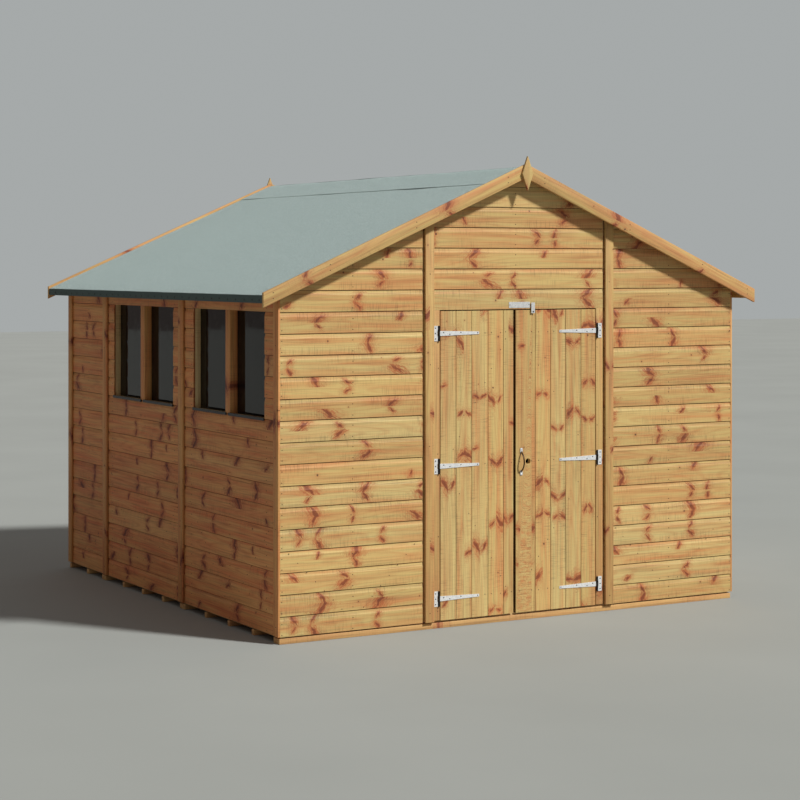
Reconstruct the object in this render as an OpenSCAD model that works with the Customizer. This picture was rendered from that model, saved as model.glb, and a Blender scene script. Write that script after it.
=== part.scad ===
// Timber garden shed: boarded wall panels on a bearer floor, a felted ridge
// roof, a pair of ledged and braced doors in the front gable and two window
// pairs in the left wall. Millimetres. The origin is the centre of the base on
// the ground, +X runs right along the front, +Y runs to the back, +Z is up.

/* [Overall] */
// Width over the corner strips of the side walls
shed_w = 2980; // [2480:10:3600]
// Length over the boards of the front and back walls
shed_l = 3080; // [2560:10:3720]
// Height of the roof's underside at the outer face of the side boards
eaves_h = 1848; // [1820:5:2220]
// Pitch of the roof in degrees
roof_pitch = 23.5; // [18:0.5:28.5]

/* [Walls] */
// Thickness of the wall and door boards
board_t = 12; // [9:1:15]
// Depth of the framing behind the boards
frame_d = 34; // [28:1:45]
// Width of a stud or rail
stud_w = 45; // [35:1:55]
// Thickness of the cover strips
strip_t = 12; // [9:1:15]
// Height of the lower edge of the boards above the ground
board_foot = 38; // [34:1:42]
// Width of the open joint between the boards of two wall panels
panel_joint = 12; // [8:1:16]

/* [Wall panels] */
// Left joint of the front and back gable panels, from the middle
left_joint_x = -613; // [-650:1:-600]
// Right joint of the front and back gable panels, from the middle
right_joint_x = 558; // [550:1:600]
// Width of the gable cover strips
gable_strip_w = 55; // [40:1:60]
// Length of the front panel of a side wall
front_panel_l = 1231; // [1180:1:1260]
// Length of the middle panel of a side wall
middle_panel_l = 1178; // [1150:1:1220]
// Width of the cover strips between side panels
side_strip_w = 65; // [50:1:75]
// Width of the corner strips
corner_strip_w = 59; // [45:1:70]

/* [Windows] */
// Length of the opening of a window pair
window_l = 920; // [780:5:960]
// Height of the bottom of the window openings
window_foot = 1156; // [1050:1:1250]
// Height of the window openings
window_h = 563; // [450:1:600]
// Width of the mullion between two panes
mullion_w = 60; // [45:1:75]
// Thickness of the panes
pane_t = 3; // [2:0.5:4]
// Lap of a pane over the studs around it
pane_lap = 12; // [6:1:20]
// Gap between the two panes of a pair, behind the mullion
pane_gap = 30; // [16:1:40]
// Height of the drip strip below a pane
drip_h = 15; // [10:1:20]
// Rise of the drip strip into the opening
drip_lap = 5; // [2:1:8]
// Stand-out of the drip strip
drip_t = 6; // [3:1:9]

/* [Floor] */
// Height of a floor bearer
bearer_h = 30; // [25:1:33]
// Width of a single floor bearer
bearer_w = 28; // [22:1:50]
// Width of a floor bearer that carries a joint
wide_bearer_w = 68; // [60:1:120]
// Number of floor bearers
bearer_n = 11; // [8:1:14]
// Thickness of the floor boards
floor_t = 13; // [9:1:16]
// Set-back of the floor from the front and back boards' outer face
floor_inset = 20; // [19:1:30]
// Set-back of the end bearers from the front and back boards' outer face
bearer_inset = 5; // [2:1:12]

/* [Roof] */
// Thickness of the roof boards
deck_t = 11; // [8:1:16]
// Thickness of the roofing felt
felt_t = 3; // [2:0.5:4]
// Overhang of the roof past the side boards, measured flat
eaves_overhang = 122; // [80:1:150]
// Overhang of the roof boards past the front and back boards
gable_overhang = 50; // [30:1:90]
// Height of the eaves batten's foot below the roof's edge
eaves_drop = 42; // [36:1:60]
// Thickness of the eaves batten
batten_t = 28; // [20:1:40]
// Upright depth of a bargeboard
barge_h = 78; // [60:1:110]
// Thickness of a bargeboard
barge_t = 17; // [12:1:22]
// Rise of a bargeboard above the felt
barge_rise = 15; // [5:1:25]
// Half width of the felt strip on the ridge, measured flat
ridge_strip_w = 230; // [150:5:280]
// Height of a finial
finial_h = 192; // [150:1:240]
// Width of a finial
finial_w = 72; // [50:1:90]
// Thickness of a finial
finial_t = 14; // [10:1:18]
// Drop of a finial's middle below the bargeboards' peak
finial_drop = 54; // [40:1:70]
// Depth of a purlin below the roof boards
purlin_h = 58; // [45:1:70]
// Depth of the ridge purlin
ridge_purlin_h = 87; // [60:1:100]
// Width of a purlin
purlin_w = 28; // [22:1:45]

/* [Doors] */
// Height of the lower edge of the doors
door_foot = 42; // [38:1:50]
// Height of the underside of the header over the doors
header_z = 1720; // [1700:1:1730]
// Clearance between the doors and the header
door_head_gap = 5.5; // [5:0.5:8]
// Place of the left door's hinge axis
left_hinge_x = -524; // [-530:1:-515]
// Place of the right door's hinge axis
right_hinge_x = 517; // [508:1:525]
// Middle of the gap between the two doors
meeting_x = -36.5; // [-60:0.5:60]
// Gap between the two doors
meeting_gap = 17; // [10:1:20]
// Clearance between a door and its post
door_side_gap = 5; // [5:0.5:8]
// Thickness of the ledges and braces
ledge_t = 16; // [12:1:22]
// Height of a ledge and width of a brace
ledge_h = 70; // [50:1:90]
// Height of the middle of the low ledge and its hinge
ledge_low = 160; // [140:1:220]
// Height of the middle of the middle ledge, its hinge, the handle and the lock
ledge_mid = 876; // [800:1:950]
// Height of the middle of the high ledge and its hinge
ledge_high = 1594; // [1560:1:1620]
// Diameter of the lock hole
lock_hole_d = 32; // [20:1:40]
// Place of the lock hole from the middle
lock_hole_x = 53; // [30:1:80]

/* [Ironmongery] */
// Thickness of the hinge plates
plate_t = 2.5; // [1.5:0.5:3]
// Height of a hinge leaf on the post
leaf_h = 83; // [70:1:100]
// Reach of a hinge leaf from the axis
leaf_reach = 32; // [28:1:36]
// Length of a hinge strap from the axis
strap_l = 256; // [200:1:300]
// Height of a strap at its root
strap_root = 28; // [22:1:34]
// Height of a strap at its tip
strap_tip = 14; // [10:1:20]
// Radius of a hinge barrel
barrel_r = 5; // [4:0.5:6]
// Radius of a hinge pin
pin_r = 3; // [2:0.5:3]
// Place of the pull handle from the middle
handle_x = 7; // [0:1:12]
// Length of the pull handle over its feet
handle_l = 150; // [120:1:180]
// Reach of the pull handle's bow in front of the door
handle_reach = 36; // [28:1:42]
// Radius of the handle's rod
rod_r = 4; // [3:0.5:5]
// Width of the blank plate over the doors
blank_w = 138; // [80:1:140]
// Height of the blank plate
blank_h = 33; // [20:1:36]
// Thickness of the blank plate
blank_t = 2; // [1:0.5:3]
// Length of the turn button
button_l = 59; // [50:1:64]
// Width of the turn button
button_w = 23; // [16:1:24]
// Thickness of the turn button
button_t = 4; // [3:0.5:6]
// Radius of the turn button's boss
boss_r = 6; // [4:0.5:8]

/* [Hidden] */

$fn = 48;

// Clearance between two pieces of one frame
fit_gap = 0.5;
// Clearance between two floor panels, and between the floor and a side wall
floor_gap = 2;
floor_side_gap = 1;
// Clearance of a piece under a sloping seat
seat_gap = 0.05;
// Clearance of a hinge or of the turn button's boss on its board
lift = 0.3;
// Clearance of a pin in its barrel, and between barrel segments
pin_clear = 0.05;
segment_gap = 0.5;
// Clearance of a barrel in front of the boards, beyond the lift
barrel_gap = 0.1;
// Clearance between a hinge barrel and the edge of its door
barrel_room = 6.5;
// Distance from the axis at which a hinge leaf is notched for its strap
leaf_notch = 10;
// Stand-out of the bearers past the side boards
bearer_reach = 2;
// Every fourth bearer, from the first on, carries a joint of the floor
joint_step = 4;
// Stand-out of the bargeboards past the felt at the eaves
barge_reach = 3;

// Wall planes, measured from the middle of the shed
side_face = shed_w/2 - strip_t;
side_back = side_face - board_t;
side_inner = side_back - frame_d;
gable_face = shed_l/2;
gable_back = gable_face - board_t;
gable_inner = gable_back - frame_d;

// Floor
floor_z = bearer_h;
floor_top = floor_z + floor_t;
floor_half_w = side_back - floor_side_gap;
floor_half_l = gable_face - floor_inset;

// Roof heights at a distance from the ridge
slope = tan(roof_pitch);
deck_rise = deck_t/cos(roof_pitch);
felt_rise = felt_t/cos(roof_pitch);
roof_half_w = side_face + eaves_overhang;
function under_z(x) = eaves_h + (side_face - abs(x))*slope;
function seat_z(x) = under_z(x) - seat_gap;
function deck_z(x) = under_z(x) + deck_rise;
function felt_z(x) = deck_z(x) + felt_rise;
function barge_top(x) = felt_z(x) + barge_rise;
barge_half_w = roof_half_w + felt_t + barge_reach;
batten_foot = felt_z(roof_half_w) - eaves_drop;
roof_half_l = gable_face + gable_overhang;

// Side wall joints, measured from the middle
front_joint_y = -gable_face + front_panel_l;
rear_joint_y = front_joint_y + middle_panel_l;

// Window pairs sit in the middle of the boards that show between the strips
front_window_y = (-gable_face + corner_strip_w + front_joint_y)/2;
middle_window_y = (front_joint_y + side_strip_w + rear_joint_y)/2;
window_head = window_foot + window_h;

// Doors
hinge_face = -gable_face - lift;
barrel_y = hinge_face - barrel_r - barrel_gap;
door_edge = barrel_r + barrel_room;
left_door_x = [left_hinge_x + door_edge, meeting_x - meeting_gap/2];
right_door_x = [meeting_x + meeting_gap/2, right_hinge_x - door_edge];
left_post_edge = left_door_x[0] - door_side_gap;
right_post_edge = right_door_x[1] + door_side_gap;
door_top = header_z - door_head_gap;
ledge_heights = [ledge_low, ledge_mid, ledge_high];
ledge_inset = 15;

// Turn button: pivots near the top of the right door. Its plate passes in
// front of the door, and its foot is the length below the pivot.
button_gap = 5;
button_foot = 8;
button_inset = 9.5;
button_z = door_top - button_inset;
button_x = 81;

// Blank plate: stands left of the turn button and above the header's foot
blank_side_gap = 5.5;
blank_rise = 7;

timber = "#d3a565";
trim_wood = "#dbb173";
frame_wood = "#d8bd8b";
floor_wood = "#c9ad7c";
felt_grey = "#9da8a3";
zinc = "#c3c7ca";
black_iron = "#26211f";

// A block between two opposite corners
module block(low, high) {
    translate(low)
        cube(high - low);
}

// A wall piece across the shed: x0 to x1 and y0 to y1, from z0 up to the
// roof's underside less a drop
module gable_piece(x0, x1, y0, y1, z0, drop = 0) {
    ridge = x0 < 0 && x1 > 0 ? [[0, seat_z(0) - drop]] : [];
    points = concat([[x0, z0], [x1, z0], [x1, seat_z(x1) - drop]],
                    ridge, [[x0, seat_z(x0) - drop]]);
    translate([0, y1, 0])
        rotate([90, 0, 0])
            linear_extrude(y1 - y0)
                polygon(points);
}

// A rail under the roof's slope on one side of the ridge: depth is upright
module slope_rail(x0, x1, y0, y1, depth) {
    points = [[x0, seat_z(x0) - depth], [x1, seat_z(x1) - depth],
              [x1, seat_z(x1)], [x0, seat_z(x0)]];
    translate([0, y1, 0])
        rotate([90, 0, 0])
            linear_extrude(y1 - y0)
                polygon(points);
}

// A side wall piece whose top follows the roof: x0 is nearer the ridge,
// side is -1 for the left wall and 1 for the right
module side_piece(side, x0, x1, y0, y1, z0) {
    points = [[side*x0, z0], [side*x1, z0],
              [side*x1, seat_z(x1)], [side*x0, seat_z(x0)]];
    translate([0, y1, 0])
        rotate([90, 0, 0])
            linear_extrude(y1 - y0)
                polygon(points);
}

// A side wall piece with a level top
module side_block(side, x0, x1, y0, y1, z0, z1) {
    low = min(side*x0, side*x1);
    high = max(side*x0, side*x1);
    block([low, y0, z0], [high, y1, z1]);
}

// ---- Floor ----

module floor_bearers() {
    half_w = side_face + bearer_reach;
    half_l = gable_face - bearer_inset;
    pitch = (2*half_l - bearer_w)/(bearer_n - 1);
    color(trim_wood)
        for (i = [0:bearer_n - 1]) {
            wide = i % joint_step == 0 ? wide_bearer_w : bearer_w;
            foot = i == 0 ? -half_l
                 : min(-half_l + i*pitch, half_l - wide);
            block([-half_w, foot, 0], [half_w, foot + wide, bearer_h]);
        }
}

module floor_panels() {
    ends = [-floor_half_l, front_joint_y, rear_joint_y, floor_half_l + floor_gap];
    color(floor_wood)
        for (i = [0:2])
            block([-floor_half_w, ends[i], floor_z],
                  [floor_half_w, ends[i + 1] - floor_gap, floor_top]);
}

// ---- Gable walls ----

module front_left_cladding() {
    color(timber)
        gable_piece(-side_face, left_joint_x - panel_joint,
                    -gable_face, -gable_back, board_foot);
}

module front_right_cladding() {
    color(timber)
        gable_piece(right_joint_x + panel_joint, side_face,
                    -gable_face, -gable_back, board_foot);
}

module front_gable_cladding() {
    color(timber)
        gable_piece(left_joint_x, right_joint_x,
                    -gable_face, -gable_back, header_z);
}

module door_posts() {
    color(trim_wood) {
        block([left_joint_x, -gable_face, floor_top],
              [left_post_edge, -gable_inner, header_z]);
        block([right_post_edge, -gable_face, floor_top],
              [right_joint_x, -gable_inner, header_z]);
    }
}

// Two braces that rise at 45 degrees from the foot of a stud at x to the
// studs beside it, whose near faces are at left and right
module brace_pair(x, left, right, y0, y1, middle_w = stud_w) {
    foot = floor_top + stud_w + fit_gap;
    depth = stud_w*sqrt(2);
    for (ends = [[x - fit_gap, left + fit_gap],
                 [x + middle_w + fit_gap, right - fit_gap]]) {
        rise = abs(ends[1] - ends[0]);
        translate([0, y1, 0])
            rotate([90, 0, 0])
                linear_extrude(y1 - y0)
                    polygon([[ends[0], foot + fit_gap], [ends[1], foot + rise],
                             [ends[1], foot + rise + depth],
                             [ends[0], foot + depth]]);
    }
}

// Frame of a gable wall between y0 and y1. Studs stand between the bottom
// rails and the sloping top rails; over a doorway they stand on the header.
module gable_frame(y0, y1, doorway) {
    rail = stud_w;
    slope_depth = stud_w/cos(roof_pitch);
    left_mid = (-side_face + left_joint_x)/2;
    right_mid = (right_joint_x + side_face)/2;
    centre = (left_joint_x + right_joint_x)/2;
    foot_rails = doorway
        ? [[-side_back, left_joint_x - fit_gap], [right_joint_x + fit_gap, side_back]]
        : [[-side_back, left_joint_x - fit_gap],
           [left_joint_x, right_joint_x],
           [right_joint_x + fit_gap, side_back]];
    side_studs = [-side_back, left_mid - stud_w/2, left_joint_x - stud_w - fit_gap,
                  right_joint_x + fit_gap, right_mid - stud_w/2, side_back - stud_w];
    inner_studs = [left_joint_x, centre - stud_w/2, right_joint_x - stud_w];
    inner_foot = (doorway ? header_z : floor_top) + rail + fit_gap;
    color(frame_wood) {
        for (r = foot_rails)
            block([r[0], y0, floor_top], [r[1], y1, floor_top + rail]);
        if (doorway)
            block([left_joint_x, y0, header_z],
                  [right_joint_x, y1, header_z + rail]);
        for (x = side_studs)
            gable_piece(x, x + stud_w, y0, y1, floor_top + rail + fit_gap,
                        slope_depth + fit_gap);
        for (x = inner_studs)
            gable_piece(x, x + stud_w, y0, y1, inner_foot,
                        slope_depth + fit_gap);
        slope_rail(-side_back, -fit_gap, y0, y1, slope_depth);
        slope_rail(fit_gap, side_back, y0, y1, slope_depth);
        // the second stud of each side panel is its middle one
        for (i = [1, 4])
            brace_pair(side_studs[i], side_studs[i - 1] + stud_w,
                       side_studs[i + 1], y0, y1);
        if (!doorway)
            brace_pair(inner_studs[1], inner_studs[0] + stud_w,
                       inner_studs[2], y0, y1);
    }
}

module front_wall_frame() {
    gable_frame(-gable_back, -gable_inner, true);
}

module back_wall_frame() {
    gable_frame(gable_inner, gable_back, false);
}

module gable_cover_strips() {
    starts = [left_joint_x, right_joint_x + panel_joint];
    color(trim_wood)
        for (x = starts) {
            gable_piece(x, x + gable_strip_w, -gable_face - strip_t,
                        -gable_face, board_foot);
            gable_piece(x, x + gable_strip_w, gable_face,
                        gable_face + strip_t, board_foot);
        }
}

module back_left_cladding() {
    color(timber)
        gable_piece(-side_face, left_joint_x - panel_joint,
                    gable_back, gable_face, board_foot);
}

module back_centre_cladding() {
    color(timber)
        gable_piece(left_joint_x, right_joint_x,
                    gable_back, gable_face, board_foot);
}

module back_right_cladding() {
    color(timber)
        gable_piece(right_joint_x + panel_joint, side_face,
                    gable_back, gable_face, board_foot);
}

// ---- Side walls ----

// Boards of a side panel, from y0 to y1 and from z0 up to the roof
module side_boards(side, y0, y1, z0) {
    color(timber)
        side_piece(side, side_back, side_face, y0, y1, z0);
}

module left_lower_cladding() {
    color(timber) {
        side_block(-1, side_back, side_face, -gable_back,
                   front_joint_y - panel_joint, board_foot, window_foot);
        side_block(-1, side_back, side_face, front_joint_y,
                   rear_joint_y - panel_joint, board_foot, window_foot);
    }
}

module left_upper_cladding() {
    side_boards(-1, -gable_back, front_joint_y - panel_joint, window_head);
    side_boards(-1, front_joint_y, rear_joint_y - panel_joint, window_head);
}

module left_window_sides() {
    spans = [[-gable_back, front_window_y - window_l/2],
             [front_window_y + window_l/2, front_joint_y - panel_joint],
             [front_joint_y, middle_window_y - window_l/2],
             [middle_window_y + window_l/2, rear_joint_y - panel_joint]];
    color(timber)
        for (s = spans)
            side_block(-1, side_back, side_face, s[0], s[1],
                       window_foot, window_head);
}

module left_rear_cladding() {
    side_boards(-1, rear_joint_y, gable_back, board_foot);
}

module right_front_cladding() {
    side_boards(1, -gable_back, front_joint_y - panel_joint, board_foot);
}

module right_middle_cladding() {
    side_boards(1, front_joint_y, rear_joint_y - panel_joint, board_foot);
}

module right_rear_cladding() {
    side_boards(1, rear_joint_y, gable_back, board_foot);
}

// Rails and studs of one plain side panel between y0 and y1
module plain_panel_frame(side, y0, y1) {
    // a short panel's middle stud is no wider than the bays beside it
    middle_w = min(stud_w, (y1 - y0 - 2*stud_w)/3);
    middle = (y0 + y1 - middle_w)/2;
    side_block(side, side_inner, side_back, y0, y1, floor_top, floor_top + stud_w);
    side_piece(side, side_inner, side_back, y0, y1, eaves_h - stud_w);
    for (s = [[y0, y0 + stud_w], [middle, middle + middle_w], [y1 - stud_w, y1]])
        side_block(side, side_inner, side_back, s[0], s[1],
                   floor_top + stud_w + fit_gap, eaves_h - stud_w - fit_gap);
    side_braces(side, middle, y0 + stud_w, y1 - stud_w, middle_w);
}

// A brace pair turned into a side wall
module side_braces(side, y, front, back, middle_w = stud_w) {
    rotate([0, 0, 90])
        brace_pair(y, front, back, min(-side*side_inner, -side*side_back),
                   max(-side*side_inner, -side*side_back), middle_w);
}

// Rails and studs of a side panel with a window pair centred on window_y
module window_panel_frame(side, y0, y1, window_y) {
    jamb_a = window_y - window_l/2;
    jamb_b = window_y + window_l/2;
    stud_foot = floor_top + stud_w + fit_gap;
    stud_top = eaves_h - stud_w - fit_gap;
    side_block(side, side_inner, side_back, y0, y1, floor_top, floor_top + stud_w);
    side_piece(side, side_inner, side_back, y0, y1, eaves_h - stud_w);
    for (s = [[y0, jamb_a], [jamb_b, y1]])
        side_block(side, side_inner, side_back, s[0], s[1], stud_foot, stud_top);
    side_block(side, side_inner, side_back, jamb_a + fit_gap, jamb_b - fit_gap,
               window_foot - stud_w, window_foot);
    side_block(side, side_inner, side_back, jamb_a + fit_gap, jamb_b - fit_gap,
               window_head, window_head + stud_w);
    side_block(side, side_inner, side_back, window_y - stud_w/2,
               window_y + stud_w/2, stud_foot, window_foot - stud_w - fit_gap);
    side_braces(side, window_y - stud_w/2, jamb_a, jamb_b);
}

module left_wall_frame() {
    color(frame_wood) {
        window_panel_frame(-1, -gable_inner, front_joint_y - fit_gap, front_window_y);
        window_panel_frame(-1, front_joint_y, rear_joint_y - fit_gap, middle_window_y);
        plain_panel_frame(-1, rear_joint_y, gable_inner);
    }
}

module right_wall_frame() {
    color(frame_wood) {
        plain_panel_frame(1, -gable_inner, front_joint_y - fit_gap);
        plain_panel_frame(1, front_joint_y, rear_joint_y - fit_gap);
        plain_panel_frame(1, rear_joint_y, gable_inner);
    }
}

module window_mullions() {
    color(trim_wood)
        for (y = [front_window_y, middle_window_y])
            side_block(-1, side_inner, side_face, y - mullion_w/2,
                       y + mullion_w/2, window_foot, window_head);
}

module window_glass() {
    color([0.1, 0.1, 0.1, 0.6])
        for (y = [front_window_y, middle_window_y])
            for (half = [-1, 1]) {
                inner = y + half*pane_gap/2;
                outer = y + half*(window_l/2 + pane_lap);
                side_block(-1, side_inner - pane_t, side_inner,
                           min(inner, outer), max(inner, outer),
                           window_foot - pane_lap, window_head + pane_lap);
            }
}

module window_drips() {
    color(black_iron)
        for (y = [front_window_y, middle_window_y])
            for (half = [-1, 1]) {
                inner = y + half*pane_gap/2;
                outer = y + half*window_l/2;
                side_block(-1, side_face, side_face + drip_t,
                           min(inner, outer), max(inner, outer),
                           window_foot + drip_lap - drip_h,
                           window_foot + drip_lap);
            }
}

// Corner strips and joint strips on both side walls
module side_cover_strips() {
    spans = [[-gable_face, -gable_face + corner_strip_w],
             [front_joint_y, front_joint_y + side_strip_w],
             [rear_joint_y, rear_joint_y + side_strip_w],
             [gable_face - corner_strip_w, gable_face]];
    color(trim_wood)
        for (side = [-1, 1])
            for (s = spans)
                side_piece(side, side_face, side_face + strip_t,
                           s[0], s[1], board_foot);
}

// ---- Roof ----

module roof_deck(side) {
    eave = roof_half_w;
    points = [[0, under_z(0)], [side*eave, under_z(eave)],
              [side*eave, deck_z(eave)], [0, deck_z(0)]];
    color(floor_wood)
        translate([0, roof_half_l, 0])
            rotate([90, 0, 0])
                linear_extrude(2*roof_half_l)
                    polygon(points);
}

module roof_deck_left() {
    roof_deck(-1);
}

module roof_deck_right() {
    roof_deck(1);
}

// Felt lies on the roof boards and folds down over the eaves batten
module roof_felt(side) {
    x1 = roof_half_w;
    x2 = roof_half_w + felt_t;
    points = [[0, deck_z(0)], [side*x1, deck_z(x1)], [side*x1, batten_foot],
              [side*x2, batten_foot], [side*x2, felt_z(x2)], [0, felt_z(0)]];
    color(felt_grey)
        translate([0, roof_half_l, 0])
            rotate([90, 0, 0])
                linear_extrude(2*roof_half_l)
                    polygon(points);
}

module roof_felt_left() {
    roof_felt(-1);
}

module roof_felt_right() {
    roof_felt(1);
}

module ridge_felt() {
    w = ridge_strip_w;
    low = seat_gap;
    high = seat_gap + felt_rise;
    points = [[-w, felt_z(w) + low], [0, felt_z(0) + low], [w, felt_z(w) + low],
              [w, felt_z(w) + high], [0, felt_z(0) + high],
              [-w, felt_z(w) + high]];
    color(felt_grey)
        translate([0, roof_half_l, 0])
            rotate([90, 0, 0])
                linear_extrude(2*roof_half_l)
                    polygon(points);
}

// A batten hangs below the roof boards along each eaves edge
module eaves_battens() {
    x0 = roof_half_w - batten_t;
    x1 = roof_half_w;
    color(trim_wood)
        for (side = [-1, 1])
            translate([0, roof_half_l, 0])
                rotate([90, 0, 0])
                    linear_extrude(2*roof_half_l)
                        polygon([[side*x0, batten_foot], [side*x1, batten_foot],
                                 [side*x1, seat_z(x1)], [side*x0, seat_z(x0)]]);
}

// Ridge purlin and two purlins on each slope, between the gable frames
module roof_purlins() {
    reach = gable_inner - fit_gap;
    color(frame_wood) {
        gable_piece(-purlin_w/2, purlin_w/2, -reach, reach,
                    under_z(0) - ridge_purlin_h);
        for (side = [-1, 1])
            for (share = [1/3, 2/3]) {
                x = side_inner*share;
                side_piece(side, x - purlin_w/2, x + purlin_w/2, -reach, reach,
                           under_z(x) - purlin_h);
            }
    }
}

// Bargeboards on the front and back ends of one slope
module bargeboards(side) {
    x1 = barge_half_w;
    points = [[side*fit_gap/2, barge_top(0) - barge_h],
              [side*x1, barge_top(x1) - barge_h],
              [side*x1, barge_top(x1)], [side*fit_gap/2, barge_top(0)]];
    color(trim_wood)
        for (y = [-roof_half_l, roof_half_l + barge_t])
            translate([0, y, 0])
                rotate([90, 0, 0])
                    linear_extrude(barge_t)
                        polygon(points);
}

module left_bargeboards() {
    bargeboards(-1);
}

module right_bargeboards() {
    bargeboards(1);
}

// Diamond-shaped finials on both ends of the ridge
module finials() {
    middle = barge_top(0) - finial_drop;
    face = roof_half_l + barge_t;
    half_h = finial_h/2;
    half_w = finial_w/2;
    color(trim_wood)
        for (y = [-face, face + finial_t])
            translate([0, y, middle])
                rotate([90, 0, 0])
                    linear_extrude(finial_t)
                        polygon([[0, -half_h], [half_w, 0], [0, half_h],
                                 [-half_w, 0]]);
}

// ---- Doors ----

// Boards of a door between two x places; hole_x is a lock hole or undef
module door_boards(span, hole_x) {
    color(timber)
        difference() {
            block([span[0], -gable_face, door_foot],
                  [span[1], -gable_back, door_top]);
            if (!is_undef(hole_x))
                lock_hole(hole_x);
        }
}

module lock_hole(x) {
    translate([x, 0, ledge_mid])
        rotate([90, 0, 0])
            cylinder(h = 2*gable_face, d = lock_hole_d);
}

// Three ledges and two braces on the back of a door. The braces run from the
// hinge side at the middle ledge to the free side at the outer ledges.
module door_ledges(span, hinge_side, hole_x) {
    y0 = -gable_back;
    y1 = -gable_back + ledge_t;
    x0 = span[0] + ledge_inset;
    x1 = span[1] - ledge_inset;
    hinge_x = hinge_side < 0 ? x0 : x1;
    free_x = hinge_side < 0 ? x1 : x0;
    half = ledge_h/2;
    foot = hinge_side*ledge_h;
    color(frame_wood) {
        difference() {
            for (z = ledge_heights)
                block([x0, y0, z - half], [x1, y1, z + half]);
            if (!is_undef(hole_x))
                lock_hole(hole_x);
        }
        for (end = [ledge_low + half + fit_gap, ledge_high - half - fit_gap]) {
            start = ledge_mid + (end > ledge_mid ? 1 : -1)*(half + fit_gap);
            translate([0, y1, 0])
                rotate([90, 0, 0])
                    linear_extrude(ledge_t)
                        polygon([[hinge_x, start], [hinge_x - foot, start],
                                 [free_x, end], [free_x + foot, end]]);
        }
    }
}

module left_door_boards() {
    door_boards(left_door_x, undef);
}

module left_door_ledges() {
    door_ledges(left_door_x, -1, undef);
}

module right_door_boards() {
    door_boards(right_door_x, lock_hole_x);
}

module right_door_ledges() {
    door_ledges(right_door_x, 1, lock_hole_x);
}

// ---- Hinges ----

// Fixed leaf with its two barrel segments and the pin: side is -1 for the
// left door, whose leaf lies to the left of the axis
module hinge_leaf(axis_x, side, z) {
    half = leaf_h/2;
    middle = strap_root/2 + segment_gap;
    outer = axis_x + side*leaf_reach;
    inner = axis_x + side*leaf_notch;
    translate([0, 0, z]) {
        block([min(outer, inner), hinge_face - plate_t, -half],
              [max(outer, inner), hinge_face, half]);
        for (end = [-half, middle]) {
            block([min(inner, axis_x), hinge_face - plate_t, end],
                  [max(inner, axis_x), hinge_face, end + half - middle]);
            translate([axis_x, barrel_y, end])
                cylinder(h = half - middle, r = barrel_r);
        }
        translate([axis_x, barrel_y, -half])
            cylinder(h = leaf_h, r = pin_r);
    }
}

module hinge_leaves() {
    color(zinc)
        for (z = ledge_heights) {
            hinge_leaf(left_hinge_x, -1, z);
            hinge_leaf(right_hinge_x, 1, z);
        }
}

// Strap with its barrel segment: side is the side of the axis it points to
module hinge_strap(axis_x, side, z) {
    half_root = strap_root/2;
    half_tip = strap_tip/2;
    translate([0, 0, z])
        difference() {
            union() {
                translate([0, hinge_face, 0])
                    rotate([90, 0, 0])
                        linear_extrude(plate_t)
                            polygon([[axis_x, -half_root],
                                     [axis_x + side*strap_l, -half_tip],
                                     [axis_x + side*strap_l, half_tip],
                                     [axis_x, half_root]]);
                translate([axis_x, barrel_y, -half_root])
                    cylinder(h = strap_root, r = barrel_r);
            }
            translate([axis_x, barrel_y, -leaf_h])
                cylinder(h = 2*leaf_h, r = pin_r + pin_clear);
        }
}

module left_hinge_straps() {
    color(zinc)
        for (z = ledge_heights)
            hinge_strap(left_hinge_x, 1, z);
}

module right_hinge_straps() {
    color(zinc)
        for (z = ledge_heights)
            hinge_strap(right_hinge_x, -1, z);
}

// ---- Small ironmongery ----

// Bow handle: a bent rod between two feet that are screwed to the door
module door_handle() {
    foot_l = 27;
    foot_w = 15;
    foot_t = 3;
    chord = handle_l/2 - foot_l + rod_r;
    rise = handle_reach - foot_t - rod_r;
    bend_r = (chord*chord + rise*rise)/(2*rise);
    half_angle = asin(chord/bend_r);
    color(black_iron)
        translate([handle_x, -gable_face, ledge_mid]) {
            translate([0, -foot_t - rise + bend_r, 0])
                rotate([0, -90, 0])
                    rotate([0, 0, 270 - half_angle])
                        rotate_extrude(angle = 2*half_angle)
                            translate([bend_r, 0])
                                circle(r = rod_r);
            for (end = [-1, 1])
                translate([0, -foot_t/2, end*(handle_l - foot_l)/2])
                    cube([foot_w, foot_t, foot_l], center = true);
            for (end = [-1, 1])
                translate([0, 0, end*chord])
                    rotate([90, 0, 0])
                        cylinder(h = foot_t + rod_r, r = rod_r + 1);
        }
}

module blank_plate() {
    right = button_x - button_w/2 - blank_side_gap;
    foot = header_z + blank_rise;
    color(zinc)
        block([right - blank_w, -gable_face - blank_t, foot],
              [right, -gable_face, foot + blank_h]);
}

// Turn button on a boss; its upper end laps in front of the header
module turn_button() {
    color(zinc)
        translate([button_x, -gable_face, button_z]) {
            translate([0, -lift, 0])
                rotate([90, 0, 0])
                    cylinder(h = button_gap - lift, r = boss_r);
            block([-button_w/2, -button_gap - button_t, -button_foot],
                  [button_w/2, -button_gap, button_l - button_foot]);
        }
}

floor_bearers();
floor_panels();
front_left_cladding();
front_right_cladding();
front_gable_cladding();
door_posts();
front_wall_frame();
gable_cover_strips();
back_left_cladding();
back_centre_cladding();
back_right_cladding();
back_wall_frame();
left_lower_cladding();
left_upper_cladding();
left_window_sides();
left_rear_cladding();
left_wall_frame();
window_mullions();
window_glass();
window_drips();
side_cover_strips();
right_front_cladding();
right_middle_cladding();
right_rear_cladding();
right_wall_frame();
roof_deck_left();
roof_deck_right();
roof_felt_left();
roof_felt_right();
ridge_felt();
eaves_battens();
roof_purlins();
left_bargeboards();
right_bargeboards();
finials();
left_door_boards();
left_door_ledges();
right_door_boards();
right_door_ledges();
hinge_leaves();
left_hinge_straps();
right_hinge_straps();
door_handle();
blank_plate();
turn_button();
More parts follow.
